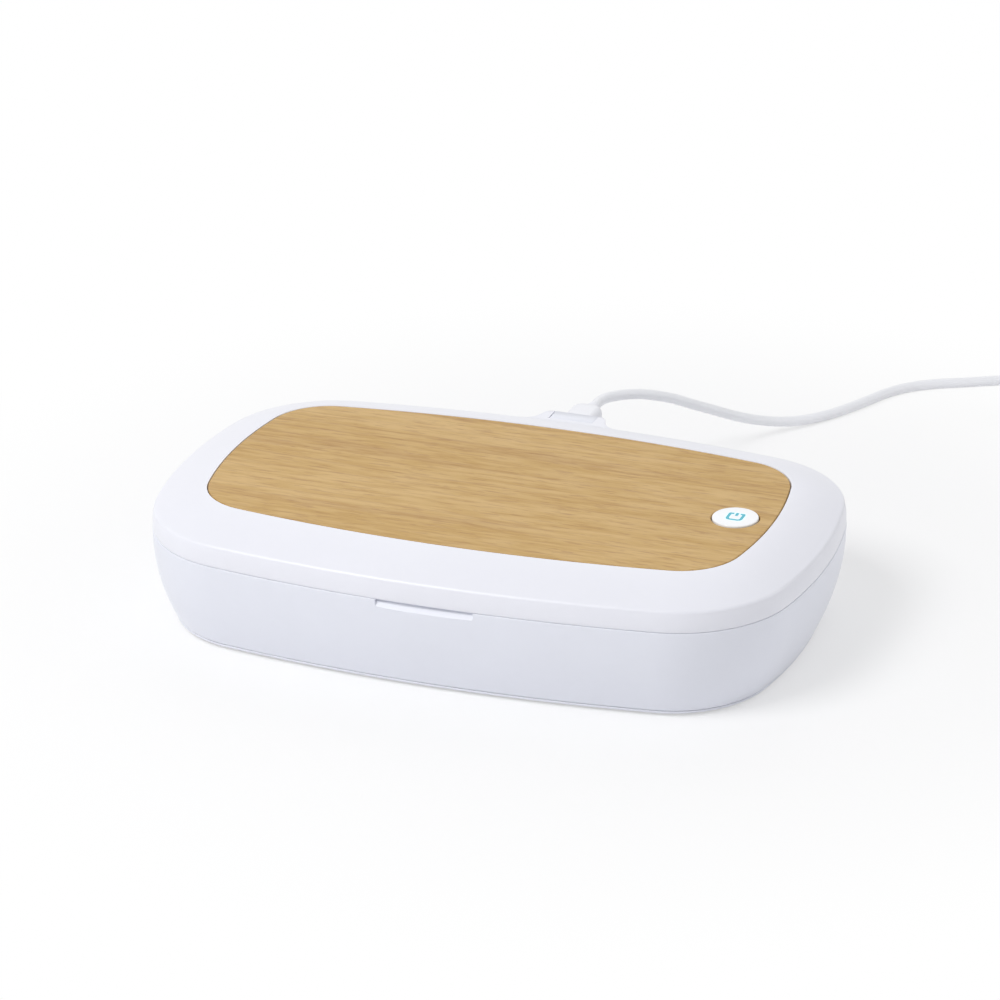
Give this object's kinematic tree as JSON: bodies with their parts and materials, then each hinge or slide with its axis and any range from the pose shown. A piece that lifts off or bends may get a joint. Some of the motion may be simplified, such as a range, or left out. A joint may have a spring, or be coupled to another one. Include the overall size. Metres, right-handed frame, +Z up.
{
  "type": "uv sanitizer box",
  "caption": "Oval white sanitizer box with a hinged lid, a wooden wireless charging plate, a round lit start button, a light chamber inside and a supply cord at the rear.",
  "frame": {"origin": "bottom centre of the box's bounding box, where its feet stand on the table", "axes": "+X along the long side towards the button, +Y to the rear where the cord plugs in, +Z up"},
  "size_m": [0.283, 0.3061, 0.0434],
  "materials": {
    "pearl_plastic": "fine satin, moulded",
    "white_plastic": "fine satin, moulded",
    "liner_plastic": "gloss, reflects ultraviolet light",
    "maple_wood": "oiled, fine straight grain along X",
    "adhesive_film": "matt film",
    "foot_rubber": "matt",
    "bumper_rubber": "matt",
    "screw_steel": "zinc plated",
    "magnet_nickel": "nickel plated",
    "port_steel": "drawn shell",
    "quartz_window": "clear, polished",
    "uv_lamp": "clear dome on a ceramic body",
    "circuit_board": "solder mask",
    "sensor_black": "moulded",
    "coil_copper": "enamelled copper winding",
    "ferrite": "matt sintered sheet",
    "switch_metal": "stamped",
    "indicator": "translucent cyan, lit from below",
    "plunger_plastic": "moulded",
    "cord_white": "soft white vinyl"
  },
  "bodies": {
    "base": {"base_shell": "pearl_plastic", "bottom_cover": "pearl_plastic", "rubber_feet": "foot_rubber", "bottom_screws": "screw_steel", "liner_tray": "liner_plastic", "lower_windows": "quartz_window", "lower_uv_leds": "uv_lamp", "base_board": "circuit_board", "board_screws": "screw_steel", "usb_receptacle": "port_steel", "port_board": "circuit_board", "hinge_pins": "screw_steel", "base_magnets": "magnet_nickel", "lid_sensor": "sensor_black", "lid_bumpers": "bumper_rubber", "plug_body": "cord_white", "plug_nose": "port_steel", "strain_relief": "cord_white", "cord_run": "cord_white", "cord_coil": "cord_white", "coil_tie": "foot_rubber", "far_relief": "cord_white", "far_plug_body": "cord_white", "far_plug_shell": "port_steel", "far_plug_tongue": "sensor_black"},
    "lid": {"lid_shell": "white_plastic", "wood_plate": "maple_wood", "plate_adhesive": "adhesive_film", "inner_cover": "liner_plastic", "lid_seal": "bumper_rubber", "lid_screws": "screw_steel", "upper_windows": "quartz_window", "upper_uv_leds": "uv_lamp", "upper_led_boards": "circuit_board", "lid_board": "circuit_board", "lid_board_screws": "screw_steel", "charging_coil": "coil_copper", "ferrite_sheet": "ferrite", "tact_switch": "switch_metal", "status_leds": "indicator", "lid_magnets": "magnet_nickel"},
    "button": {"button_cap": "white_plastic", "icon_light_guide": "indicator", "switch_plunger": "plunger_plastic"}
  },
  "joints": [
    {"name": "lid_hinge", "type": "hinge", "parent": "base", "child": "lid", "pos_m": [0, 0.0665, 0.033], "axis": [-1, 0, 0], "range_deg": [0, 90]},
    {"name": "button_press", "type": "slide", "parent": "lid", "child": "button", "axis": [0, 0, -1], "range_m": [0, 0.0005], "stiffness_N_per_m": 400}
  ]
}
